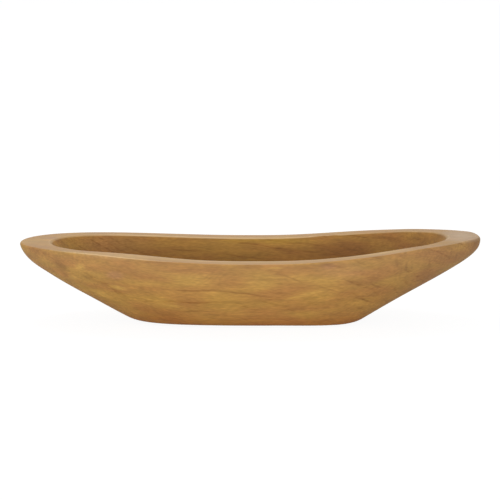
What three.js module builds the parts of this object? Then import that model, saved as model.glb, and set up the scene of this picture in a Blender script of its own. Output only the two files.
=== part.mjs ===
// An oval serving bowl carved from one block of wood, standing on four stick-on rubber bumpers.
// Millimetres, +Z up, +X along the bowl to its higher end, +Y to the back.
// The origin is on the table, under the middle of the bowl.
import * as THREE from 'three';

const { degToRad, lerp, smoothstep } = THREE.MathUtils;

// Overall sizes
// The length and width run over the rim's outer corner. Rounding it leaves a bowl 508 long and 180 wide.
const bowlLength = 508.6;
const bowlWidth = 181;
const rimHeight = 78; // at the middle of the long sides, above the face of the foot
const floorThickness = 16;

// Bumpers under the foot
const bumperDiameter = 12;
const bumperHeight = 2;
const bumperEdge = 0.6; // rounding of the edge that meets the table
const bumperInset = 4; // from the foot's rounded edge to the side of a bumper
const bumperTurn = 0.625; // how far round a quarter of the foot, from its end, a bumper sits

// The bowl's drawn sections: one down each end and one down the long sides.
// A length runs outward from the foot or inward from the rim, and an angle is measured from the table.
const leftEnd = {
  rimRise: 9.5, // how much higher the rim stands here than at the middle
  levelRun: 4, // how far from the middle the rim starts to rise
  overhang: 126, // from the foot's corner out to the rim's
  rimLand: 34, // the rim's flat top, from its outer corner to its inner one
  wallRun: 138.5, // from the rim's inner corner in to the flat of the floor
  footAngle: 27.5, // of the flank where it leaves the foot
  footReach: 55, // how far the flank holds that angle
  rimAngle: 87, // of the flank where it reaches the rim
  rimReach: 18.5, // how far the flank holds that angle
  wallAngle: 46, // of the inner wall where it leaves the rim
  wallReach: 40, // how far the inner wall holds that angle
  floorReach: 55, // how far the floor's level carries on into the wall
  footEdge: 9, // rounding of the foot's corner
  rimEdge: 3.2, // rounding of the rim's outer corner
  mouthEdge: 3, // rounding of the rim's inner corner
};
const rightEnd = {
  rimRise: 15.7,
  levelRun: 25,
  overhang: 134,
  rimLand: 36.5,
  wallRun: 141,
  footAngle: 30,
  footReach: 130,
  rimAngle: 86.5,
  rimReach: 18,
  wallAngle: 46,
  wallReach: 40,
  floorReach: 55,
  footEdge: 8,
  rimEdge: 4,
  mouthEdge: 3,
};
const longSide = {
  overhang: 44.5,
  rimLand: 20.5,
  wallRun: 46,
  footAngle: 53,
  footReach: 30,
  rimAngle: 66,
  rimReach: 30,
  wallAngle: 68,
  wallReach: 28,
  floorReach: 20,
  footEdge: 10,
  rimEdge: 1.6,
  mouthEdge: 1.5,
};

// Fullness of the outlines seen from above: how far each quarter keeps straight along the side and across the
// end before it turns, as a share of its own length and width. An ellipse has 0.55 in all four.
const rimFullness = { leftAlong: 0.41, leftAcross: 0.77, rightAlong: 0.59, rightAcross: 0.51 };
const mouthFullness = { leftAlong: 0.5, leftAcross: 0.88, rightAlong: 0.48, rightAcross: 0.84 };
const footFullness = { leftAlong: 0.68, leftAcross: 0.6, rightAlong: 0.84, rightAcross: 0.86 };
const floorFullness = { leftAlong: 0.58, leftAcross: 0.58, rightAlong: 0.62, rightAcross: 0.62 };

// Fineness of the mesh
const stationsPerQuarter = 24;
const steps = { foot: 2, footEdge: 4, flank: 11, rimEdge: 5, rimTop: 3, mouthEdge: 4, wall: 11, floor: 3 };
const bumperSides = 24;

const stationCount = 4 * stationsPerQuarter;
const halfLength = bowlLength / 2;
const halfWidth = bowlWidth / 2;
const floorLevel = bumperHeight + floorThickness;

/** Points of a closed oval seen from above: anticlockwise from its right end, as many in each quarter. */
function ovalOutline(left, right, half, fullness) {
  const quarter = (end, side, along, across) =>
    new THREE.CubicBezierCurve(
      new THREE.Vector2(end, 0),
      new THREE.Vector2(end, side * across),
      new THREE.Vector2(end * along, side),
      new THREE.Vector2(0, side),
    );
  const rightQuarter = (side) => quarter(right, side, fullness.rightAlong, fullness.rightAcross);
  const leftQuarter = (side) => quarter(-left, side, fullness.leftAlong, fullness.leftAcross);
  const quarters = [
    { curve: rightQuarter(half), fromEnd: true },
    { curve: leftQuarter(half), fromEnd: false },
    { curve: leftQuarter(-half), fromEnd: true },
    { curve: rightQuarter(-half), fromEnd: false },
  ];
  return quarters.flatMap(({ curve, fromEnd }) =>
    Array.from({ length: stationsPerQuarter }, (_, i) => {
      const t = i / stationsPerQuarter;
      return curve.getPoint(fromEnd ? t : 1 - t);
    }),
  );
}

/** An outline set in from the bowl's overall length and width by its own distance at each end and at the sides. */
function insetOutline(leftInset, rightInset, sideInset, fullness) {
  return ovalOutline(halfLength - leftInset, halfLength - rightInset, halfWidth - sideInset, fullness);
}

const rimOutline = insetOutline(0, 0, 0, rimFullness);
const mouthOutline = insetOutline(leftEnd.rimLand, rightEnd.rimLand, longSide.rimLand, mouthFullness);
const footOutline = insetOutline(leftEnd.overhang, rightEnd.overhang, longSide.overhang, footFullness);
const floorOutline = insetOutline(
  leftEnd.rimLand + leftEnd.wallRun,
  rightEnd.rimLand + rightEnd.wallRun,
  longSide.rimLand + longSide.wallRun,
  floorFullness,
);

/** Height of the rim's top above the table: level about the middle, then rising to each end. */
function rimTop(x) {
  const end = x < 0 ? leftEnd : rightEnd;
  return bumperHeight + rimHeight + end.rimRise * smoothstep(Math.abs(x), end.levelRun, halfLength);
}

/** The section sizes at one station of the rim: the long side's, passing into the nearer end's. */
function sizesAt(station) {
  const { x } = rimOutline[station];
  const end = x < 0 ? leftEnd : rightEnd;
  const endShare = (x / halfLength) ** 2;
  return Object.fromEntries(
    Object.keys(longSide).map((name) => [name, lerp(longSide[name], end[name], endShare)]),
  );
}

/** The level direction from one point seen from above towards another. */
function heading(from, to) {
  return new THREE.Vector3(to.x - from.x, to.y - from.y, 0).normalize();
}

/** A vector of a given length that climbs at an angle in degrees while it goes along a level direction. */
function climb(direction, angle, length) {
  const level = direction.clone().multiplyScalar(length * Math.cos(degToRad(angle)));
  return level.setZ(length * Math.sin(degToRad(angle)));
}

/** One section of the bowl: from the middle of the foot, up the flank, over the rim and down to the floor. */
function sectionCurves(station) {
  const size = sizesAt(station);
  const rim = rimOutline[station];
  const mouth = mouthOutline[station];
  const foot = footOutline[station];
  const floor = floorOutline[station];

  const footCorner = new THREE.Vector3(foot.x, foot.y, bumperHeight);
  const rimCorner = new THREE.Vector3(rim.x, rim.y, rimTop(rim.x));
  const mouthCorner = new THREE.Vector3(mouth.x, mouth.y, rimTop(mouth.x));
  const floorEdge = new THREE.Vector3(floor.x, floor.y, floorLevel);
  const footMiddle = new THREE.Vector3(0, 0, bumperHeight);
  const floorMiddle = new THREE.Vector3(0, 0, floorLevel);

  const outward = heading(foot, rim);
  const inward = heading(mouth, floor);
  const acrossRim = mouthCorner.clone().sub(rimCorner).normalize();

  const footStart = footCorner.clone().addScaledVector(outward, -size.footEdge);
  const flankStart = footCorner.clone().add(climb(outward, size.footAngle, size.footEdge));
  const flankEnd = rimCorner.clone().sub(climb(outward, size.rimAngle, size.rimEdge));
  const rimStart = rimCorner.clone().addScaledVector(acrossRim, size.rimEdge);
  const rimEnd = mouthCorner.clone().addScaledVector(acrossRim, -size.mouthEdge);
  const wallStart = mouthCorner.clone().add(climb(inward, -size.wallAngle, size.mouthEdge));

  const flank = new THREE.CubicBezierCurve3(
    flankStart,
    flankStart.clone().add(climb(outward, size.footAngle, size.footReach)),
    flankEnd.clone().sub(climb(outward, size.rimAngle, size.rimReach)),
    flankEnd,
  );
  const wall = new THREE.CubicBezierCurve3(
    wallStart,
    wallStart.clone().add(climb(inward, -size.wallAngle, size.wallReach)),
    floorEdge.clone().addScaledVector(inward, -size.floorReach),
    floorEdge,
  );
  return {
    foot: new THREE.LineCurve3(footMiddle, footStart),
    footEdge: new THREE.QuadraticBezierCurve3(footStart, footCorner, flankStart),
    flank,
    rimEdge: new THREE.QuadraticBezierCurve3(flankEnd, rimCorner, rimStart),
    rimTop: new THREE.LineCurve3(rimStart, rimEnd),
    mouthEdge: new THREE.QuadraticBezierCurve3(rimEnd, mouthCorner, wallStart),
    wall,
    floor: new THREE.LineCurve3(floorEdge, floorMiddle),
  };
}

/** A section's points in order, each curve giving its own number of steps. */
function sectionPoints(station) {
  const curves = Object.entries(sectionCurves(station));
  const stretches = curves.map(([name, curve]) => curve.getPoints(steps[name]).slice(1));
  const [, firstCurve] = curves[0];
  return [firstCurve.getPoint(0), ...stretches.flat()];
}

/** A closed solid through sections that all start at one shared point and end at another. */
function loft(sections) {
  const start = sections[0].at(0);
  const end = sections[0].at(-1);
  const rings = sections.map((section) => section.slice(1, -1));
  const ringSize = rings[0].length;
  const vertex = (station, row) => 2 + (station % rings.length) * ringSize + row;
  const index = [];
  for (let station = 0; station < rings.length; station++) {
    index.push(0, vertex(station + 1, 0), vertex(station, 0));
    for (let row = 0; row < ringSize - 1; row++) {
      const near = vertex(station, row);
      const nearNext = vertex(station, row + 1);
      const far = vertex(station + 1, row);
      const farNext = vertex(station + 1, row + 1);
      index.push(near, far, nearNext);
      index.push(far, farNext, nearNext);
    }
    index.push(vertex(station, ringSize - 1), vertex(station + 1, ringSize - 1), 1);
  }
  const geometry = new THREE.BufferGeometry().setFromPoints([start, end, ...rings.flat()]);
  geometry.setIndex(index);
  geometry.computeVertexNormals();
  return geometry;
}

/** The carved body, in oiled wood. */
function makeBody() {
  const sections = Array.from({ length: stationCount }, (_, station) => sectionPoints(station));
  const wood = new THREE.MeshStandardMaterial({ color: '#a47d4d', roughness: 0.45, metalness: 0 });
  const body = new THREE.Mesh(loft(sections), wood);
  body.name = 'bowl_body';
  return body;
}

/** One moulded bumper, its flat top against the foot and its rounded edge at the table. */
function makeBumper(name, place) {
  const radius = bumperDiameter / 2;
  const outline = new THREE.Path();
  outline.moveTo(0, 0);
  outline.lineTo(radius - bumperEdge, 0);
  outline.absarc(radius - bumperEdge, bumperEdge, bumperEdge, -Math.PI / 2, 0, false);
  outline.lineTo(radius, bumperHeight);
  outline.lineTo(0, bumperHeight);
  const shape = new THREE.LatheGeometry(outline.getPoints(2), bumperSides);
  shape.rotateX(Math.PI / 2);
  const rubber = new THREE.MeshStandardMaterial({ color: '#2d2b29', roughness: 0.8, metalness: 0 });
  const bumper = new THREE.Mesh(shape, rubber);
  bumper.name = name;
  bumper.position.set(place.x, place.y, 0);
  return bumper;
}

/** The middle of a bumper that sits inside the foot's outline at one station, clear of the rounded edge. */
function bumperPlace(station) {
  const before = footOutline[station - 1];
  const after = footOutline[station + 1];
  const run = after.clone().sub(before).normalize();
  const inward = new THREE.Vector2(-run.y, run.x);
  const inset = sizesAt(station).footEdge + bumperInset + bumperDiameter / 2;
  return footOutline[station].clone().addScaledVector(inward, inset);
}

const bowl = new THREE.Group();
bowl.add(makeBody());
['back_right', 'back_left', 'front_left', 'front_right'].forEach((corner, quarter) => {
  const fromEnd = Math.round(bumperTurn * stationsPerQuarter);
  const intoQuarter = quarter % 2 === 0 ? fromEnd : stationsPerQuarter - fromEnd;
  const place = bumperPlace(quarter * stationsPerQuarter + intoQuarter);
  bowl.add(makeBumper(`bumper_${corner}`, place));
});

export default bowl;
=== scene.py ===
"""The looks of an oval carved wooden bowl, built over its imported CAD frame, with +Z up.

Lengths are in metres, apart from those that a class gives in millimetres.
"""

import logging
import math
from collections.abc import Iterable
from dataclasses import dataclass
from enum import Enum

import bpy
import numpy as np
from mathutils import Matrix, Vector


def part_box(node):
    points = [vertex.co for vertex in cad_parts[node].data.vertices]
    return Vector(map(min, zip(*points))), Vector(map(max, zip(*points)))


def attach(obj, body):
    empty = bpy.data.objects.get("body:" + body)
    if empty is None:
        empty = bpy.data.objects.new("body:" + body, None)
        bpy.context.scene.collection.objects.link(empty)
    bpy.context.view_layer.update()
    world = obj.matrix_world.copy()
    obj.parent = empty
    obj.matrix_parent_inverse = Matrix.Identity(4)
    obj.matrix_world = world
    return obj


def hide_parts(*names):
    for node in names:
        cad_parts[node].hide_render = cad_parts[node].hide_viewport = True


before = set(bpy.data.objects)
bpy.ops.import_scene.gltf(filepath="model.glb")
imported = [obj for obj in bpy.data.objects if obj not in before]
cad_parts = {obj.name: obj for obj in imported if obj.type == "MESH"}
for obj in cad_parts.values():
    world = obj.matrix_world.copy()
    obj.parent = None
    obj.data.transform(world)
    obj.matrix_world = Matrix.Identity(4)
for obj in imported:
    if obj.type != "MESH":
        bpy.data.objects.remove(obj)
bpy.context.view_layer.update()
MM = 0.001
TINY = 1e-9
WHITE = (1.0, 1.0, 1.0, 1.0)
NOISE_MIDDLE = (0.5, 0.5, 0.5)
EASED = {"interpolation_type": "SMOOTHSTEP"}

# Sockets of Blender's mix node go by number, because their names repeat.
MIX_SHARE = 0
MIX_NUMBERS = (2, 3)
MIX_COLOURS = (6, 7)

LOG = logging.getLogger("bowl")

Point = tuple[float, float, float]
Feed = float | tuple[float, ...] | bpy.types.Node | bpy.types.NodeSocket


class Slot(Enum):
    """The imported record's material slots."""

    WOOD = "wood"
    RUBBER = "rubber"


class Zone(Enum):
    """The zones of the bowl that its wood knows, by the mesh attribute that marks each."""

    EDGE = "worn_and_highlit_edge"
    RIM = "rim_top"
    HOLLOW = "hollow_side"


class Corner(Enum):
    """Where a bumper sits under the foot, by the CAD node it stands for."""

    FRONT_LEFT = "bumper_front_left"
    FRONT_RIGHT = "bumper_front_right"
    BACK_LEFT = "bumper_back_left"
    BACK_RIGHT = "bumper_back_right"


class Octaves(Enum):
    """How many finer octaves a noise holds."""

    SMOOTH = 0.0
    SOFT = 1.0
    BROKEN = 2.0
    RAGGED = 3.0


class Blend(Enum):
    """How a tint meets the colour under it, by Blender's name for it."""

    COVER = "MIX"
    STAIN = "MULTIPLY"


class Shade(Enum):
    """The colours that odd patches of the wood lean to, and those of patches of painted light, shade and
    sheen.
    """

    STRAW = "#C9A04F"
    UMBER = "#7C5226"
    ROSE = "#AD7A56"
    # Used only for painted light.
    OLIVE = "#BE9A3E"
    # Used only for a painted sheen.
    ASH = "#C0B6A9"
    AMBER = "#A06A28"
    # Used only for painted light.
    CREAM = "#DDBD84"


@dataclass(frozen=True)
class Span:
    """Where something starts and where it is full. It may run downwards."""

    start: float
    full: float

    def feeds(self, value: Feed, top: float = 1.0) -> dict[str | int, Feed]:
        """Gives the inputs of a node that goes from 0 to a top while a value goes over the span."""
        return {"Value": value, "From Min": self.start, "From Max": self.full, "To Max": top}

    def share(self, values: np.ndarray) -> np.ndarray:
        """Goes from 0 to 1 while the values go over the span."""
        return np.clip((values - self.start) / (self.full - self.start), 0.0, 1.0)


NOISE_SPAN = Span(0.25, 0.75)  # where most of a noise's values lie


@dataclass(frozen=True)
class Coat:
    """A tint, as an sRGB hex colour, that is laid over another colour by a share."""

    name: str
    share: Feed
    tint: str
    blend: Blend


def linear(colour: str) -> tuple[float, float, float, float]:
    """Turns an sRGB hex colour into the linear one that Blender's sockets take, by the standard's curve.

    Args:
        colour: Six hex digits after a hash sign.

    Returns:
        Red, green, blue and an alpha of 1.
    """
    shares = [int(colour[i : i + 2], 16) / 255 for i in (1, 3, 5)]
    red, green, blue = [s / 12.92 if s <= 0.04045 else ((s + 0.055) / 1.055) ** 2.4 for s in shares]
    return red, green, blue, 1.0


def pick_only(piece: bpy.types.Object) -> None:
    """Deselects everything, then selects one piece and makes it the active one.

    Args:
        piece: The piece to work on.
    """
    bpy.ops.object.select_all(action="DESELECT")
    piece.select_set(True)
    bpy.context.view_layer.objects.active = piece


def new_tree(name: str) -> tuple[bpy.types.Material, bpy.types.NodeTree]:
    """Makes an empty node material.

    Args:
        name: The material's name.

    Returns:
        The material and its node tree.
    """
    material = bpy.data.materials.new(name)
    material.use_nodes = True
    material.node_tree.nodes.clear()
    return material, material.node_tree


def add_node(
    tree: bpy.types.NodeTree, kind: str, feeds: dict[str | int, Feed] | None = None, **settings: object
) -> bpy.types.Node:
    """Adds one node to a tree, sets it up and links what feeds it.

    Args:
        tree: The material's or world's node tree.
        kind: Blender's name for the node, without ShaderNode in front.
        feeds: For each input socket a constant, an output socket, or a node whose first live output is taken.
        settings: The node's own properties, such as operation.

    Returns:
        The new node.
    """
    node = tree.nodes.new("ShaderNode" + kind)
    for name, value in settings.items():
        setattr(node, name, value)
    for socket, feed in (feeds or {}).items():
        if isinstance(feed, bpy.types.Node):
            feed = next(out for out in feed.outputs if out.enabled)
        if isinstance(feed, bpy.types.NodeSocket):
            tree.links.new(feed, node.inputs[socket])
        else:
            node.inputs[socket].default_value = feed
    return node


def product(tree: bpy.types.NodeTree, shares: Iterable[Feed]) -> Feed:
    """Multiplies all the shares.

    Args:
        tree: The material's node tree.
        shares: Two or more numbers.

    Returns:
        Their product.
    """
    first, *others = shares
    for share in others:
        first = add_node(tree, "Math", {0: first, 1: share}, operation="MULTIPLY")
    return first


def stretched_noise(tree: bpy.types.NodeTree, place: Feed, size: Point, octaves: Octaves) -> bpy.types.Node:
    """Lays a noise that is longer one way than another, by its size along each of the place's axes."""
    scaled = add_node(tree, "Mapping", {"Vector": place, "Scale": tuple(1 / s for s in size)})
    return add_node(tree, "TexNoise", {"Vector": scaled, "Scale": 1.0, "Detail": octaves.value})


def coated(tree: bpy.types.NodeTree, colour: Feed, coats: Iterable[Coat]) -> Feed:
    """Lays coats over a colour, one after another.

    Args:
        tree: The material's node tree.
        colour: The colour under them.
        coats: The coats, from the lowest up.

    Returns:
        The new colour.
    """
    under, over = MIX_COLOURS
    for coat in coats:
        feeds = {MIX_SHARE: coat.share, under: colour, over: linear(coat.tint)}
        colour = add_node(tree, "Mix", feeds, data_type="RGBA", blend_type=coat.blend.value, label=coat.name)
    return colour


def shown(tree: bpy.types.NodeTree) -> bpy.types.Node:
    """Tells what the camera shows, straight, off a gloss or through glass, from what only lights the scene.

    Args:
        tree: A material's or the world's node tree.

    Returns:
        1 for a ray that is shown and 0 for any other.
    """
    ray = add_node(tree, "LightPath").outputs
    seen = add_node(tree, "Math", {0: ray["Is Camera Ray"], 1: ray["Is Glossy Ray"]}, operation="MAXIMUM")
    return add_node(tree, "Math", {0: seen, 1: ray["Is Transmission Ray"]}, operation="MAXIMUM")


@dataclass(frozen=True)
class Mark:
    """A streak or patch where the wood grew paler, darker or rosier, or a patch of painted light, shade or
    sheen.
    Sizes are in millimetres.

    The reach is half its size along the bowl, into the wood and upwards, before the slope turns it. A slope
    is in degrees, and a positive one lifts the right end.
    """

    name: str
    place: Point
    reach: Point
    slope: float
    shade: Shade
    strength: float


FRONT_MARKS = (
    Mark("straw_wedge", (-143, -59, 49), (15, 14, 4.2), -8, Shade.STRAW, 0.65),
    Mark("straw_below_it", (-162, -42, 39), (17, 14, 4.5), -15, Shade.STRAW, 0.55),
    Mark("thin_straw_line", (-83, -59, 29), (17, 10, 1.2), 0, Shade.STRAW, 0.5),
    Mark("rising_straw_streak", (56, -72, 43), (36, 14, 3), 15, Shade.STRAW, 0.35),
    Mark("straw_under_rim", (26, -88, 76), (12, 10, 2), 0, Shade.STRAW, 0.45),
    Mark("straw_left_end", (-182, -61, 71), (9, 14, 7), 0, Shade.STRAW, 0.6),
    Mark("straw_left_edge", (-191, -46, 57), (7, 14, 5), -20, Shade.STRAW, 0.5),
    Mark("straw_middle", (8, -80, 57), (19, 12, 10), 0, Shade.STRAW, 0.22),
    Mark("straw_left_of_middle", (-62, -80, 61), (32, 14, 10), 0, Shade.STRAW, 0.34),
    Mark("level_dark_line", (-61, -73, 48.6), (36, 10, 1.5), 2, Shade.UMBER, 0.45),
    Mark("falling_dark_line", (-3, -74, 45), (38, 10, 1.5), -8.5, Shade.UMBER, 0.45),
    Mark("low_dark_line", (-62, -57, 22.5), (27, 10, 2.2), 0, Shade.UMBER, 0.4),
    Mark("long_line_top", (43, -81, 64), (25, 10, 1.6), -20, Shade.UMBER, 0.34),
    Mark("long_line_middle", (84, -72, 49.5), (29, 14, 1.6), -18.8, Shade.UMBER, 0.3),
    Mark("long_line_end", (122, -52, 34.5), (22, 16, 1.8), -26, Shade.UMBER, 0.45),
    Mark("short_dark_line", (134, -61, 51.7), (14, 12, 2.0), -34, Shade.UMBER, 0.42),
    Mark("falling_right_line", (108, -72, 57), (14, 12, 1.8), -28, Shade.UMBER, 0.35),
    Mark("dark_left_end", (-202, -51, 70), (10, 14, 7), -35, Shade.UMBER, 0.42),
    Mark("dark_left_tip", (-240, -26, 77), (7, 14, 6), -35, Shade.UMBER, 0.35),
    Mark("dark_diagonal", (-169, -55, 57), (22, 14, 4), -23, Shade.UMBER, 0.42),
    Mark("dark_patch", (31, -85, 68), (10, 10, 4), -10, Shade.UMBER, 0.2),
    Mark("dark_spot", (120, -46, 23), (7, 10, 3), -20, Shade.UMBER, 0.35),
    Mark("small_knot", (21, -70, 38), (3.5, 6, 1.6), 10, Shade.UMBER, 0.35),
    Mark("first_ray", (156, -69, 77), (2.2, 12, 8), 6, Shade.UMBER, 0.38),
    Mark("second_ray", (166, -64, 73), (2.0, 12, 7), 6, Shade.UMBER, 0.3),
    Mark("third_ray", (193, -54, 73), (2.6, 12, 11), 10, Shade.UMBER, 0.38),
    Mark("rosy_left_patch", (-144, -68, 64), (15, 14, 8), 0, Shade.ROSE, 0.55),
    Mark("amber_low_left", (-100, -48, 16), (60, 24, 14), 0, Shade.AMBER, 0.3),
    Mark("rosy_right_patch", (83, -84, 77), (11, 10, 5), 0, Shade.ROSE, 0.4),
    Mark("rosy_right_flank", (98, -81, 71), (45, 16, 16), -10, Shade.ROSE, 0.25),
    # Painted sheen: the rim's right end made greyer and paler.
    Mark("ashen_rim_end", (232, 0, 97), (38, 60, 7), 0, Shade.ASH, 0.5),
    # Painted shade on the front flank just under the rim's outer edge.
    Mark("dim_edge_middle", (0, -91, 78), (22, 9, 6), 0, Shade.UMBER, 0.24),
    Mark("dim_edge_right", (72, -88, 79), (40, 10, 7), 3, Shade.UMBER, 0.28),
    # Painted light: the near rim and the top of the front flank made paler and creamier.
    Mark("paler_front_mouth", (-10, -67, 82), (150, 17, 12), 0, Shade.CREAM, 0.6),
    Mark("paler_right_mouth", (125, -59, 87), (60, 16, 9), 4, Shade.CREAM, 0.55),
    Mark("paler_front_left_rim", (-125, -68, 86), (75, 18, 7), -2, Shade.CREAM, 0.35),
)
HOLLOW_MARKS = (
    # Painted light: a paler, more olive band along the top of the far hollow wall.
    Mark("olive_band", (20, 68, 77), (75, 14, 5), 0, Shade.OLIVE, 0.5),
    Mark("dark_hollow_streak", (40, 64, 67), (20, 10, 2.4), -3, Shade.UMBER, 0.35),
    Mark("dark_hollow_end", (159, 50, 83), (26, 12, 3.2), -4, Shade.UMBER, 0.5),
    Mark("dark_hollow_right", (115, 58, 72), (75, 20, 14), 8, Shade.UMBER, 0.22),
    Mark("rosy_hollow_end", (-221, 19, 89), (8, 14, 6), 0, Shade.ROSE, 0.5),
    Mark("rosy_hollow_left", (-150, 45, 76), (75, 35, 20), 0, Shade.ROSE, 0.35),
)


@dataclass(frozen=True)
class OiledTeak:
    """Teak, carved along the grain, sanded and rubbed with oil.

    The oil soaks in and leaves the flanks nearly matt. On the rim, which is sanded finer and worn by hands,
    it leaves a satin skin; the rim's paler colour is partly that sanding and partly a painted sheen. The
    edges are paler, partly worn and partly by a painted highlight. Under the oil the carving cuts the growth
    layers. They run level along the flanks, sweep up at the left end and dip at the right, so that their late
    wood shows as long broken lines on the sides and as arcs on the ends. The wood drifts between golden and
    rosy, is darker towards its right end and has odd streaks. Painted shade darkens the hollow, more so
    deeper down, and the flank near the foot, and patches of painted light, shade and sheen lie on the near
    rim, under the front rim's edge, high in the hollow and on the rim's right end.

    Sizes are in millimetres, angles are in degrees, and tones are shares of the colour's own brightness.
    """

    golden: str = "#B78C44"
    rosy: str = "#AC7A40"
    hue: Point = (55.0, 24.0, 15.0)
    heartwood: str = "#E8E5EC"
    heart_span: Span = Span(40.0, 240.0)
    # Painted shade in the hollow.
    hollow: str = "#E7E2D3"
    # Painted shade on the outer flank, darker towards the foot.
    foot: str = "#EBD6C4"
    foot_span: Span = Span(20.0, 4.0)
    # Painted shade, darker deeper down in the hollow.
    deep: str = "#F0EAE4"
    deep_span: Span = Span(82.0, 55.0)
    upper: str = "#A08870"
    upper_span: Span = Span(30.0, 85.0)
    upper_share: float = 0.14
    # The rim's paler colour is partly sanding and partly painted sheen.
    rim: str = "#CDA775"
    rim_share: float = 0.3
    # The edges' paler colour is partly worn wood and partly painted highlight.
    worn: str = "#DDBF91"
    wear_and_highlight: float = 0.75
    layer_tilt: float = 60.0
    ring: float = 8.2
    first_ring: float = -3.9
    left_sweep: float = 0.55
    left_sweep_from: float = 125.0
    right_dip: float = 0.16
    right_dip_from: float = -40.0
    overall_dip: float = 0.03
    sweep_blend: float = 40.0
    wander_size: float = 45.0
    wander: float = 2.0
    late_wood: str = "#D6C6AE"
    faintest_line: float = 0.2
    line_rise: Span = Span(0.6, 0.94)  # as shares of a layer, as the fall is
    line_fall: Span = Span(1.0, 0.9)
    line_fade: Point = (60.0, 20.0, 9.0)
    fade_span: Span = Span(0.36, 0.62)
    line_break: Span = Span(0.7, 0.4)
    fibre: Point = (40.0, 3.0, 2.4)
    fibre_tone: float = 0.1
    pore: Point = (6.0, 1.2, 1.2)  # drawn coarser than real pores, which are 0.2 wide and too fine to show
    pore_tone: float = 0.11
    patch: Point = (60.0, 16.0, 12.0)
    patch_tone: float = 0.09
    mottle: Point = (20.0, 9.0, 7.0)
    mottle_tone: float = 0.08
    flame: Point = (22.0, 14.0, 14.0)
    flame_tone: float = 0.1
    flame_span: Span = Span(130.0, 190.0)
    fleck: Point = (3.0, 6.0, 14.0)
    fleck_tone: float = 0.09
    fleck_span: Span = Span(0.58, 0.72)
    curl_place: Point = (-46.0, -82.0, 64.0)
    curl_reach: Point = (32.0, 16.0, 14.0)
    curl_step: float = 4.6
    curl_lean: float = -50.0
    curl_tone: float = 0.06
    curl_waver: Point = (16.0, 12.0, 12.0)
    curl_turns: float = 1.5
    ragged: Point = (8.0, 4.0, 1.8)
    ragged_size: float = 16.0
    mark_edge: Span = Span(1.0, 0.2)  # as shares of a mark's or the curl's reach
    flank_roughness: float = 0.75
    rim_roughness: float = 0.55
    roughness_drift: float = 0.05
    relief: float = 0.2
    relief_strength: float = 0.1
    ior: float = 1.4

    def material(self) -> bpy.types.Material:
        """Builds the node material.

        Returns:
            The material.
        """
        material, tree = new_tree("oiled_teak")
        place = self.millimetres(tree)
        grain = self.grain_space(tree, place)
        zones = {zone: add_node(tree, "Attribute", attribute_name=zone.value).outputs["Fac"] for zone in Zone}
        fibre = stretched_noise(tree, place, self.fibre, Octaves.BROKEN)
        pore = stretched_noise(tree, place, self.pore, Octaves.SMOOTH)
        marked = self.marked(tree, place, self.ground(tree, place))
        late = Coat("late_wood", self.late_lines(tree, grain, fibre), self.late_wood, Blend.STAIN)
        lined = coated(tree, marked, [late])
        tone = self.tone(tree, place, grain, fibre, pore)
        figured = add_node(tree, "VectorMath", {0: lined, "Scale": tone}, operation="SCALE")
        colour = self.shaded_and_worn(tree, place, zones, figured)
        gloss = {"Value": zones[Zone.RIM], "To Min": self.flank_roughness, "To Max": self.rim_roughness}
        shine = add_node(tree, "MapRange", gloss)
        drift = {0: fibre, 1: 2 * self.roughness_drift, 2: -self.roughness_drift}
        grit = add_node(tree, "Math", drift, operation="MULTIPLY_ADD")
        rough = add_node(tree, "Math", {0: shine, 1: grit}, operation="ADD")
        height = add_node(tree, "Math", {0: fibre, 1: pore}, operation="ADD")
        relief = {"Height": height, "Strength": self.relief_strength, "Distance": self.relief * MM}
        bump = add_node(tree, "Bump", relief)
        skin = {"Base Color": colour, "Roughness": rough, "IOR": self.ior, "Normal": bump}
        add_node(tree, "OutputMaterial", {"Surface": add_node(tree, "BsdfPrincipled", skin)})
        return material

    def millimetres(self, tree: bpy.types.NodeTree) -> bpy.types.Node:
        """Gives a place on the bowl in millimetres."""
        place = add_node(tree, "TexCoord").outputs["Object"]
        return add_node(tree, "VectorMath", {0: place, "Scale": 1 / MM}, operation="SCALE")

    def grain_space(self, tree: bpy.types.NodeTree, place: Feed) -> bpy.types.Node:
        """Turns a place on the bowl into a place in the wood.

        Args:
            tree: The material's node tree.
            place: The place on the bowl.

        Returns:
            A vector node: along the grain, across it within a layer, and out through the layers.
        """
        along, across, height = add_node(tree, "SeparateXYZ", {0: place}).outputs
        left = add_node(tree, "Math", {0: -self.left_sweep_from, 1: along}, operation="SUBTRACT")
        left_run = add_node(tree, "Math", {0: left, 1: 0.0, 2: self.sweep_blend}, operation="SMOOTH_MAX")
        right = add_node(tree, "Math", {0: along, 1: self.right_dip_from}, operation="SUBTRACT")
        right_run = add_node(tree, "Math", {0: right, 1: 0.0, 2: self.sweep_blend}, operation="SMOOTH_MAX")
        bends = ((along, self.overall_dip), (right_run, self.right_dip), (left_run, -self.left_sweep))
        for run, dip in bends:
            height = add_node(tree, "Math", {0: run, 1: dip, 2: height}, operation="MULTIPLY_ADD")
        level = add_node(tree, "CombineXYZ", {0: along, 1: across, 2: height})
        turn = (math.radians(90.0 - self.layer_tilt), 0.0, 0.0)
        layers = add_node(tree, "Mapping", {"Vector": level, "Rotation": turn})
        noise = {"Vector": place, "Scale": 1 / self.wander_size, "Detail": Octaves.RAGGED.value}
        drift = add_node(tree, "TexNoise", noise)
        # Most of a noise lies in the middle half of its range, so the whole range is twice the wander.
        push = {"Value": drift, "To Min": -2 * self.wander, "To Max": 2 * self.wander}
        offset = add_node(tree, "CombineXYZ", {2: add_node(tree, "MapRange", push)})
        return add_node(tree, "VectorMath", {0: layers, 1: offset}, operation="ADD")

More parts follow.
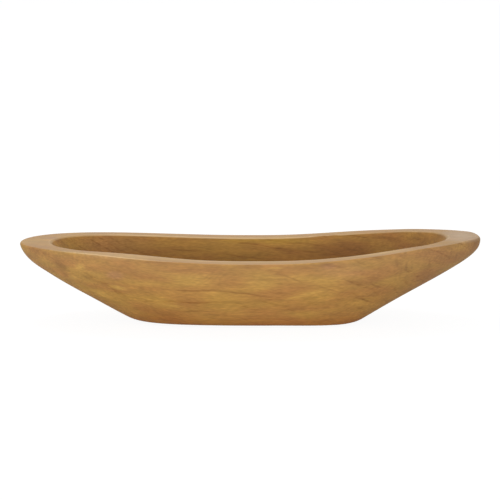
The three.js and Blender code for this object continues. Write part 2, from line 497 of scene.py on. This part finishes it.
    def within(
        self, tree: bpy.types.NodeTree, place: Feed, centre: Point, reach: Point, slope: float, top: float
    ) -> bpy.types.Node:
        """Eases from 0 at the edge of a patch of wood to a top near its middle.

        Args:
            tree: The material's node tree.
            place: The place on the bowl.
            centre: The patch's middle.
            reach: Half its size along the bowl, into the wood and upwards.
            slope: How far its right end is lifted, in degrees.
            top: The share at its middle.

        Returns:
            The share.
        """
        turn = (0.0, -math.radians(slope), 0.0)
        feeds = {"Vector": place, "Location": centre, "Rotation": turn, "Scale": reach}
        local = add_node(tree, "Mapping", feeds, vector_type="TEXTURE")
        out = add_node(tree, "VectorMath", {0: local}, operation="LENGTH")
        return add_node(tree, "MapRange", self.mark_edge.feeds(out, top), **EASED)

    def ground(self, tree: bpy.types.NodeTree, place: Feed) -> Feed:
        """Mixes the wood's ground colour: golden and rosy by turns, and darker at the right end.

        Args:
            tree: The material's node tree.
            place: The place on the bowl.

        Returns:
            The colour.
        """
        drift = stretched_noise(tree, place, self.hue, Octaves.SOFT)
        rosiness = add_node(tree, "MapRange", NOISE_SPAN.feeds(drift), **EASED)
        along = add_node(tree, "SeparateXYZ", {0: place}).outputs["X"]
        heart = add_node(tree, "MapRange", self.heart_span.feeds(along), **EASED)
        coats = (
            Coat("rosy_wood", rosiness, self.rosy, Blend.COVER),
            Coat("heartwood", heart, self.heartwood, Blend.STAIN),
        )
        return coated(tree, linear(self.golden), coats)

    def marked(self, tree: bpy.types.NodeTree, place: Feed, colour: Feed) -> Feed:
        """Lays the odd streaks and patches, and those of painted light, shade and sheen, over the ground
        colour, with ragged edges.

        Args:
            tree: The material's node tree.
            place: The place on the bowl.
            colour: The ground colour.

        Returns:
            The colour.
        """
        feeds = {"Vector": place, "Scale": 1 / self.ragged_size, "Detail": Octaves.RAGGED.value}
        noise = add_node(tree, "TexNoise", feeds).outputs["Color"]
        centred = add_node(tree, "VectorMath", {0: noise, 1: NOISE_MIDDLE}, operation="SUBTRACT")
        shift = add_node(tree, "VectorMath", {0: centred, 1: self.ragged}, operation="MULTIPLY")
        shifted = add_node(tree, "VectorMath", {0: place, 1: shift}, operation="ADD")
        coats = []
        for mark in FRONT_MARKS + HOLLOW_MARKS:
            share = self.within(tree, shifted, mark.place, mark.reach, mark.slope, mark.strength)
            coats.append(Coat(mark.name, share, mark.shade.value, Blend.COVER))
        return coated(tree, colour, coats)

    def late_lines(self, tree: bpy.types.NodeTree, grain: Feed, fibre: Feed) -> Feed:
        """Draws the late wood: each layer ends in a thin dark line, broken by fibres, that comes and goes.

        Args:
            tree: The material's node tree.
            grain: The place in the wood.
            fibre: The fibres' noise.

        Returns:
            The line's strength, from 0 to 1.
        """
        out = add_node(tree, "SeparateXYZ", {0: grain}).outputs["Z"]
        depth = add_node(tree, "Math", {0: -self.first_ring, 1: out}, operation="SUBTRACT")
        count = add_node(tree, "Math", {0: depth, 1: self.ring}, operation="DIVIDE")
        share = add_node(tree, "Math", {0: count}, operation="FRACT")
        index = add_node(tree, "Math", {0: count}, operation="FLOOR")
        season = add_node(tree, "TexWhiteNoise", {"W": index}, noise_dimensions="1D").outputs["Value"]
        fade = stretched_noise(tree, grain, self.line_fade, Octaves.BROKEN)
        parts = [add_node(tree, "MapRange", {"Value": season, "To Min": self.faintest_line})]
        breaks = (
            self.line_rise.feeds(share),
            self.line_fall.feeds(share),
            self.fade_span.feeds(fade),
            self.line_break.feeds(fibre),
        )
        parts += [add_node(tree, "MapRange", feeds, **EASED) for feeds in breaks]
        return product(tree, parts)

    def tone(self, tree: bpy.types.NodeTree, place: Feed, grain: Feed, fibre: Feed, pore: Feed) -> Feed:
        """Works out how bright the figure is: fibres, pores, patches, curl, and flame and flecks on the ends.

        Args:
            tree: The material's node tree.
            place: The place on the bowl.
            grain: The place in the wood.
            fibre: The fibres' noise.
            pore: The pores' noise.

        Returns:
            The brightness, about 1 on average.
        """
        along = add_node(tree, "SeparateXYZ", {0: place}).outputs["X"]
        out = add_node(tree, "Math", {0: along}, operation="ABSOLUTE")
        at_ends = add_node(tree, "MapRange", self.flame_span.feeds(out), **EASED)
        noises = (
            (stretched_noise(tree, grain, self.flame, Octaves.SOFT), self.flame_tone),
            (stretched_noise(tree, place, self.patch, Octaves.BROKEN), self.patch_tone),
            (stretched_noise(tree, place, self.mottle, Octaves.SOFT), self.mottle_tone),
            (fibre, self.fibre_tone),
            (pore, self.pore_tone),
        )
        feeds = [NOISE_SPAN.feeds(noise, 1 + tone) | {"To Min": 1 - tone} for noise, tone in noises]
        flame, *tones = [add_node(tree, "MapRange", feed) for feed in feeds]
        plain, figured = MIX_NUMBERS
        flamed = add_node(tree, "Mix", {MIX_SHARE: at_ends, plain: 1.0, figured: flame})
        fleck = stretched_noise(tree, place, self.fleck, Octaves.SMOOTH)
        ray = product(tree, (add_node(tree, "MapRange", self.fleck_span.feeds(fleck), **EASED), at_ends))
        flecked = add_node(tree, "MapRange", {"Value": ray, "To Min": 1.0, "To Max": 1 - self.fleck_tone})
        return product(tree, (flamed, flecked, *tones, self.curl(tree, place)))

    def curl(self, tree: bpy.types.NodeTree, place: Feed) -> bpy.types.Node:
        """Draws a patch of curly grain: slanting ripples of brightness that waver.

        Args:
            tree: The material's node tree.
            place: The place on the bowl.

        Returns:
            The brightness, about 1.
        """
        here = self.within(tree, place, self.curl_place, self.curl_reach, 0.0, self.curl_tone)
        turn = (0.0, math.radians(self.curl_lean), 0.0)
        leaned = add_node(tree, "Mapping", {"Vector": place, "Rotation": turn})
        across = add_node(tree, "SeparateXYZ", {0: leaned}).outputs["X"]
        phase = add_node(tree, "Math", {0: across, 1: math.tau / self.curl_step}, operation="MULTIPLY")
        waver = stretched_noise(tree, place, self.curl_waver, Octaves.SOFT)
        # As with the wander, the whole range of the noise is twice the turns that most of it goes through.
        turns = {0: waver, 1: 2 * math.tau * self.curl_turns, 2: phase}
        bent = add_node(tree, "Math", turns, operation="MULTIPLY_ADD")
        wave = add_node(tree, "Math", {0: bent}, operation="SINE")
        return add_node(tree, "Math", {0: wave, 1: here, 2: 1.0}, operation="MULTIPLY_ADD")

    def shaded_and_worn(
        self, tree: bpy.types.NodeTree, place: Feed, zones: dict[Zone, bpy.types.NodeSocket], colour: Feed
    ) -> Feed:
        """Paints shade on the hollow and the foot, dulls the upper flank, and pales the rim and the edges.

        The rim's paleness is partly sanding and partly painted sheen, and the edges' partly worn wood and
        partly painted highlight.

        Args:
            tree: The material's node tree.
            place: The place on the bowl.
            zones: How far a point belongs to each zone.
            colour: The figured wood.

        Returns:
            The colour.
        """
        up = add_node(tree, "SeparateXYZ", {0: place}).outputs["Z"]
        inside = zones[Zone.HOLLOW]
        outside = add_node(tree, "Math", {0: 1.0, 1: inside}, operation="SUBTRACT")
        deep = add_node(tree, "MapRange", self.deep_span.feeds(up), **EASED)
        high = add_node(tree, "MapRange", self.upper_span.feeds(up, self.upper_share), **EASED)
        low = add_node(tree, "MapRange", self.foot_span.feeds(up), **EASED)
        coats = (
            # Painted shade in the hollow.
            Coat("oiled_hollow", inside, self.hollow, Blend.STAIN),
            # Painted shade, darker deeper down in the hollow.
            Coat("deep_hollow", product(tree, (deep, inside)), self.deep, Blend.STAIN),
            Coat("upper_flank", product(tree, (high, outside)), self.upper, Blend.COVER),
            # Painted shade on the outer flank near the foot.
            Coat("oiled_foot", product(tree, (low, outside)), self.foot, Blend.STAIN),
            # Partly sanding, partly painted sheen.
            Coat("sanded_rim", product(tree, (zones[Zone.RIM], self.rim_share)), self.rim, Blend.COVER),
            # Partly worn, partly painted highlight.
            Coat("worn_edges", product(tree, (zones[Zone.EDGE], self.wear_and_highlight)), self.worn, Blend.COVER),
        )
        return coated(tree, colour, coats)


@dataclass(frozen=True)
class MouldedRubber:
    """Black nitrile rubber from a mould: dull, with a fine mould grain. Sizes are in millimetres."""

    body: str = "#2E2C2A"
    worn: str = "#3A3734"
    grain: float = 0.5
    roughness: float = 0.7
    roughness_drift: float = 0.08
    relief: float = 0.05
    relief_strength: float = 0.3
    ior: float = 1.52

    def material(self) -> bpy.types.Material:
        """Builds the node material.

        Returns:
            The material.
        """
        material, tree = new_tree("moulded_rubber")
        place = add_node(tree, "TexCoord").outputs["Object"]
        noise = {"Vector": place, "Scale": 1 / (self.grain * MM), "Detail": Octaves.BROKEN.value}
        grit = add_node(tree, "TexNoise", noise)
        tone = coated(tree, linear(self.body), [Coat("worn_skin", grit, self.worn, Blend.COVER)])
        low, high = self.roughness - self.roughness_drift, self.roughness + self.roughness_drift
        rough = add_node(tree, "MapRange", {"Value": grit, "To Min": low, "To Max": high})
        relief = {"Height": grit, "Strength": self.relief_strength, "Distance": self.relief * MM}
        bump = add_node(tree, "Bump", relief)
        skin = {"Base Color": tone, "Roughness": rough, "IOR": self.ior, "Normal": bump}
        add_node(tree, "OutputMaterial", {"Surface": add_node(tree, "BsdfPrincipled", skin)})
        return material


@dataclass(frozen=True)
class PaperSweep:
    """White background paper: matt, and bright enough to render plain white away from the bowl's shadow."""

    white: str = "#D6D6D6"
    glow: float = 1.16
    lift: float = 0.8

    def material(self) -> bpy.types.Material:
        """Builds the node material.

        Returns:
            The material.
        """
        material, tree = new_tree("paper_sweep")
        paper = add_node(tree, "BsdfDiffuse", {"Color": linear(self.white)})
        light = add_node(tree, "Emission", {"Color": WHITE, "Strength": self.glow})
        share = product(tree, (shown(tree), self.lift))
        mixed = add_node(tree, "MixShader", {0: share, 1: paper, 2: light})
        add_node(tree, "OutputMaterial", {"Surface": mixed})
        return material


@dataclass(frozen=True)
class Stroke:
    """A place where the carver's hand strayed from the drawing. Sizes are in millimetres."""

    name: str
    place: Point
    reach: Point
    shift: Point


HAND_STROKES = (
    Stroke("front_left_mouth_raised", (-127, -62, 84), (90, 23, 22), (0, 0, 1.8)),
    Stroke("front_right_edge_lowered", (150, -74, 87), (125, 22, 22), (0, 0, -0.9)),
    Stroke("back_right_rim_drawn_in", (210, 46, 92), (40, 30, 40), (0, -2.5, 0)),
    Stroke("back_right_shoulder", (250, 18, 92), (18, 30, 40), (0, 4.2, 0)),
    Stroke("back_rim_raised", (95, 78, 84), (105, 30, 25), (0, 0, 0.9)),
    Stroke("front_right_end_lowered", (215, -50, 90), (48, 24, 15), (0, 0, -1.1)),
    Stroke("right_flank_fuller", (195, -15, 58), (70, 70, 34), (0, 0, -0.6)),
    Stroke("left_foot_corner_fuller", (-115, -22, 8), (85, 60, 36), (-2.4, 0, 0)),
    Stroke("right_tip_lowered", (256, 0, 85), (9, 60, 30), (0, 0, -1.2)),
    Stroke("left_nose_deeper", (-243, 0, 67), (28, 45, 20), (0, 0, -1.2)),
)


@dataclass
class BowlBody:
    """The bowl itself, carved from one block, with its flat foot, flared flanks, broad rim and hollow.

    The quad angles are in degrees, and a bend is the radius of an edge. The facing spans are of a normal's
    share upwards or inwards, and the outer highlight ones are distances to the left of the middle, where the
    rim's outer edge is paled as a painted highlight.
    """

    node: str = "bowl_body"
    weld: float = 0.01 * MM
    quad_fold: float = 60.0
    quad_skew: float = 80.0
    rounding: int = 2
    # Bends at which the edges' worn paleness and painted highlight are full and nil.
    worn_and_highlit_bend: float = 3.0 * MM
    plain_edge_bend: float = 14.0 * MM
    rim_over: float = 60.0 * MM
    floor_under: float = 45.0 * MM
    edge_facing: Span = Span(0.2, 0.6)
    rim_facing: Span = Span(0.7, 0.95)
    hollow_facing: Span = Span(0.1, 0.4)
    mouth_wear: float = 0.9
    outer_highlight_start: Span = Span(70.0 * MM, 135.0 * MM)
    outer_highlight_end: Span = Span(175.0 * MM, 215.0 * MM)

    def build(self) -> bpy.types.Object:
        """Copies the CAD solid, welds it, rounds its facets away and carves it by hand.

        Returns:
            The bowl's mesh object, in place of the CAD node.
        """
        piece = bpy.data.objects.new("carved_bowl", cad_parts[self.node].data.copy())
        bpy.context.scene.collection.objects.link(piece)
        pick_only(piece)
        bpy.ops.mesh.customdata_custom_splitnormals_clear()
        bpy.ops.object.mode_set(mode="EDIT")
        bpy.ops.mesh.select_all(action="SELECT")
        bpy.ops.mesh.remove_doubles(threshold=self.weld)
        fold, skew = math.radians(self.quad_fold), math.radians(self.quad_skew)
        bpy.ops.mesh.tris_convert_to_quads(face_threshold=fold, shape_threshold=skew)
        bpy.ops.object.mode_set(mode="OBJECT")
        smooth = piece.modifiers.new("rounding", "SUBSURF")
        smooth.levels = smooth.render_levels = self.rounding
        bpy.ops.object.modifier_apply(modifier=smooth.name)
        bpy.ops.object.shade_smooth()
        self.carve_by_hand(piece)
        self.mark_zones(piece)
        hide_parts(self.node)
        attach(piece, "root")
        return piece

    def carve_by_hand(self, piece: bpy.types.Object) -> None:
        """Leaves the bowl slightly uneven, as a hand tool does.

        Args:
            piece: The bowl's mesh object.
        """
        place = np.empty((len(piece.data.vertices), 3))
        piece.data.vertices.foreach_get("co", place.ravel())
        for stroke in HAND_STROKES:
            away = (place / MM - np.array(stroke.place)) / np.array(stroke.reach)
            share = np.clip(1 - (away**2).sum(axis=1, keepdims=True), 0.0, 1.0) ** 2
            place += share * np.array(stroke.shift) * MM
            LOG.debug("%s: %d points moved", stroke.name, np.count_nonzero(share))
        piece.data.vertices.foreach_set("co", place.ravel())
        piece.data.update()

    def mark_zones(self, piece: bpy.types.Object) -> None:
        """Marks each point for the wood: how far its edge is worn and given painted highlight,
        and how far it is on the rim or in the hollow.

        Args:
            piece: The bowl's mesh object.
        """
        mesh = piece.data
        place = np.empty((len(mesh.vertices), 3))
        mesh.vertices.foreach_get("co", place.ravel())
        facing = np.empty((len(mesh.vertices), 3))
        mesh.vertex_normals.foreach_get("vector", facing.ravel())
        _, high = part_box(self.node)
        outward = place[:, :2] / np.array([high.x, high.y]) ** 2
        outward /= np.maximum(np.linalg.norm(outward, axis=1, keepdims=True), TINY)
        inward = -(outward * facing[:, :2]).sum(axis=1)
        upward = facing[:, 2]
        height = place[:, 2]
        leftward = -place[:, 0]
        tight = Span(1 / self.plain_edge_bend, 1 / self.worn_and_highlit_bend)
        bent = tight.share(self.bends(mesh, place, facing))
        # The outer edge's stretch left of the middle is a painted highlight; the mouth's edges are worn.
        outer_highlight = self.outer_highlight_start.share(leftward) - self.outer_highlight_end.share(leftward)
        worn_and_highlit = np.where(inward > 0.0, self.mouth_wear, outer_highlight)
        over_floor = np.where(height < self.floor_under, upward, 0.0)
        self.keep(mesh, Zone.EDGE, bent * self.edge_facing.share(upward) * worn_and_highlit)
        self.keep(mesh, Zone.RIM, np.where(height > self.rim_over, self.rim_facing.share(upward), 0.0))
        self.keep(mesh, Zone.HOLLOW, self.hollow_facing.share(np.maximum(inward, over_floor)))

    def bends(self, mesh: bpy.types.Mesh, place: np.ndarray, facing: np.ndarray) -> np.ndarray:
        """Measures how tightly the surface bends outward at each point.

        Args:
            mesh: The bowl's mesh.
            place: Its points.
            facing: Its normals.

        Returns:
            One over the tightest radius at each point, in metres.
        """
        ends = np.empty((len(mesh.edges), 2), dtype=np.int32)
        mesh.edges.foreach_get("vertices", ends.ravel())
        first, second = ends.T
        run = place[second] - place[first]
        turn = facing[second] - facing[first]
        bend = (run * turn).sum(axis=1) / (run * run).sum(axis=1)
        tightest = np.zeros(len(mesh.vertices))
        np.maximum.at(tightest, first, bend)
        np.maximum.at(tightest, second, bend)
        return tightest

    def keep(self, mesh: bpy.types.Mesh, zone: Zone, share: np.ndarray) -> None:
        """Stores a share for each point, for the wood to read."""
        mesh.attributes.new(zone.value, "FLOAT", "POINT").data.foreach_set("value", share.astype(np.float32))

    def dress(self, piece: bpy.types.Object, finish: OiledTeak) -> None:
        """Gives the bowl its wood.

        Args:
            piece: The bowl's mesh object.
            finish: The wood and its oil.
        """
        piece.data.materials.clear()
        piece.data.materials.append(finish.material())


@dataclass
class BumperFeet:
    """Four stick-on bumpers under the foot, hidden in the picture. They keep the wood off the table.

    Edges that turn by less than smooth_below, in degrees, are shaded smooth. A face is the tread where its
    normal's Z is under straight_down.
    """

    sides: int = 48
    edge: float = 0.6 * MM
    edge_steps: int = 4
    dish_share: float = 0.55
    dish: float = 0.25 * MM
    smooth_below: float = 35.0
    straight_down: float = -0.999

    def build(self) -> list[bpy.types.Object]:
        """Models one bumper and copies it to the other corners, each inside the CAD node it stands for.

        Returns:
            The four bumpers.
        """
        first, *others = Corner
        pattern = self.mould(first)
        pieces = [pattern] + [self.copied(pattern, first, corner) for corner in others]
        for corner, piece in zip(Corner, pieces):
            piece.name = piece.data.name = corner.value.replace("bumper", "moulded_bumper")
            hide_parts(corner.value)
            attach(piece, "root")
        return pieces

    def mould(self, corner: Corner) -> bpy.types.Object:
        """Models one bumper: a short stud with a rounded tread and a shallow dish in it.

        Args:
            corner: The CAD node to stand for.

        Returns:
            The bumper's mesh object.
        """
        low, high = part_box(corner.value)
        bpy.ops.object.select_all(action="DESELECT")
        radius = (high.x - low.x) / 2
        bpy.ops.mesh.primitive_cylinder_add(
            vertices=self.sides, radius=radius, depth=high.z - low.z, location=(low + high) / 2
        )
        piece = bpy.context.active_object
        bpy.ops.object.transform_apply(location=True, rotation=True, scale=True)
        self.pick_tread(piece)
        bpy.ops.mesh.bevel(offset=self.edge, segments=self.edge_steps, affect="EDGES")
        self.pick_tread(piece)
        bpy.ops.mesh.inset(thickness=radius * (1 - self.dish_share))
        bpy.ops.mesh.inset(thickness=self.dish, depth=-self.dish)
        bpy.ops.object.mode_set(mode="OBJECT")
        bpy.ops.object.shade_smooth_by_angle(angle=math.radians(self.smooth_below))
        return piece

    def copied(self, pattern: bpy.types.Object, first: Corner, corner: Corner) -> bpy.types.Object:
        """Sets a copy of a bumper, with its own mesh, at another corner.

        Args:
            pattern: The bumper to copy.
            first: The corner it was modelled at.
            corner: The corner to set the copy at.

        Returns:
            The copy's mesh object.
        """
        pick_only(pattern)
        bpy.ops.object.duplicate()
        piece = bpy.context.active_object
        start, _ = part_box(first.value)
        end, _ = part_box(corner.value)
        piece.location = end - start
        bpy.ops.object.transform_apply(location=True, rotation=True, scale=True)
        return piece

    def pick_tread(self, piece: bpy.types.Object) -> None:
        """Selects the face that stands on the table, and stays in edit mode.

        Args:
            piece: The bumper's mesh object.
        """
        bpy.ops.object.mode_set(mode="EDIT")
        bpy.ops.mesh.select_mode(type="FACE")
        bpy.ops.mesh.select_all(action="DESELECT")
        bpy.ops.object.mode_set(mode="OBJECT")
        for face in piece.data.polygons:
            face.select = face.normal.z < self.straight_down
        bpy.ops.object.mode_set(mode="EDIT")

    def dress(self, pieces: list[bpy.types.Object], finish: MouldedRubber) -> None:
        """Gives the bumpers their rubber.

        Args:
            pieces: The four bumpers.
            finish: The rubber.
        """
        rubber = finish.material()
        for piece in pieces:
            piece.data.materials.clear()
            piece.data.materials.append(rubber)


@dataclass(frozen=True)
class Panel:
    """A soft white light panel that faces the bowl. Its power is in watts."""

    name: str
    place: Point
    width: float
    height: float
    power: float


@dataclass
class Studio:
    """A white paper floor under soft, even light, with the camera a little above the rim.

    The elevation is in degrees, and the lens and sensor are in millimetres, as Blender takes them.
    """

    floor_radius: float = 40.0
    floor_sides: int = 96
    day: float = 0.58
    front: Panel = Panel("front_panel", (-0.2, -2.3, 0.34), 2.4, 0.6, 30.0)
    above: Panel = Panel("overhead_panel", (-0.3, 0.35, 1.9), 0.8, 0.5, 9.0)
    target: Point = (-0.0003, 0.0, 0.0789)
    distance: float = 1.7
    elevation: float = 10.556
    lens: float = 110.7
    sensor: float = 36.0
    view_limit: float = 200.0

    def build(self, paper: PaperSweep) -> None:
        """Sets the floor, light and camera.

        Args:
            paper: The floor's finish.
        """
        self.floor(paper)
        self.surroundings()
        for panel in (self.front, self.above):
            self.hang(panel)
        self.camera()
        bpy.context.scene.view_settings.view_transform = "Standard"

    def floor(self, paper: PaperSweep) -> None:
        """Lays the paper, wide enough to fill the frame up to the horizon.

        Args:
            paper: The floor's finish.
        """
        bpy.ops.object.select_all(action="DESELECT")
        bpy.ops.mesh.primitive_circle_add(
            vertices=self.floor_sides, radius=self.floor_radius, fill_type="NGON"
        )
        sheet = bpy.context.active_object
        sheet.name = "paper_floor"
        sheet.data.materials.append(paper.material())

    def surroundings(self) -> None:
        """Lights the scene evenly from all round, and shows plain white where no floor is."""
        world = bpy.data.worlds.new("soft_white_room")
        bpy.context.scene.world = world
        world.use_nodes = True
        tree = world.node_tree
        tree.nodes.clear()
        level = add_node(tree, "MapRange", {"Value": shown(tree), "To Min": self.day, "To Max": 1.0})
        room = add_node(tree, "Background", {"Color": WHITE, "Strength": level})
        add_node(tree, "OutputWorld", {"Surface": room})

    def hang(self, panel: Panel) -> None:
        """Hangs one light panel and turns it to the bowl.

        Args:
            panel: Its place, size and power.
        """
        lamp = bpy.data.lights.new(panel.name, "AREA")
        lamp.shape = "RECTANGLE"
        lamp.size = panel.width
        lamp.size_y = panel.height
        lamp.energy = panel.power
        holder = bpy.data.objects.new(panel.name, lamp)
        holder.location = panel.place
        aim = Vector(self.target) - holder.location
        holder.rotation_euler = aim.to_track_quat("-Z", "Y").to_euler()
        bpy.context.scene.collection.objects.link(holder)

    def camera(self) -> None:
        """Stands the camera in front of the long side, looking slightly down."""
        lens = bpy.data.cameras.new("camera")
        lens.lens = self.lens
        lens.sensor_width = self.sensor
        lens.clip_end = self.view_limit
        eye = bpy.data.objects.new("camera", lens)
        tilt = math.radians(self.elevation)
        eye.location = Vector(self.target) + self.distance * Vector((0.0, -math.cos(tilt), math.sin(tilt)))
        eye.rotation_euler = (math.pi / 2 - tilt, 0.0, 0.0)
        bpy.context.scene.collection.objects.link(eye)
        bpy.context.scene.camera = eye


def main() -> None:
    """Builds and dresses the bowl and its bumpers, and sets the studio."""
    logging.basicConfig(level=logging.INFO, format="%(name)s: %(message)s")
    body = BowlBody()
    bowl = body.build()
    body.dress(bowl, OiledTeak())
    LOG.info("%s: %d faces", bowl.name, len(bowl.data.polygons))
    feet = BumperFeet()
    bumpers = feet.build()
    feet.dress(bumpers, MouldedRubber())
    for bumper in bumpers:
        LOG.info("%s: %d faces", bumper.name, len(bumper.data.polygons))
    Studio().build(PaperSweep())


if __name__ == "__main__":
    main()
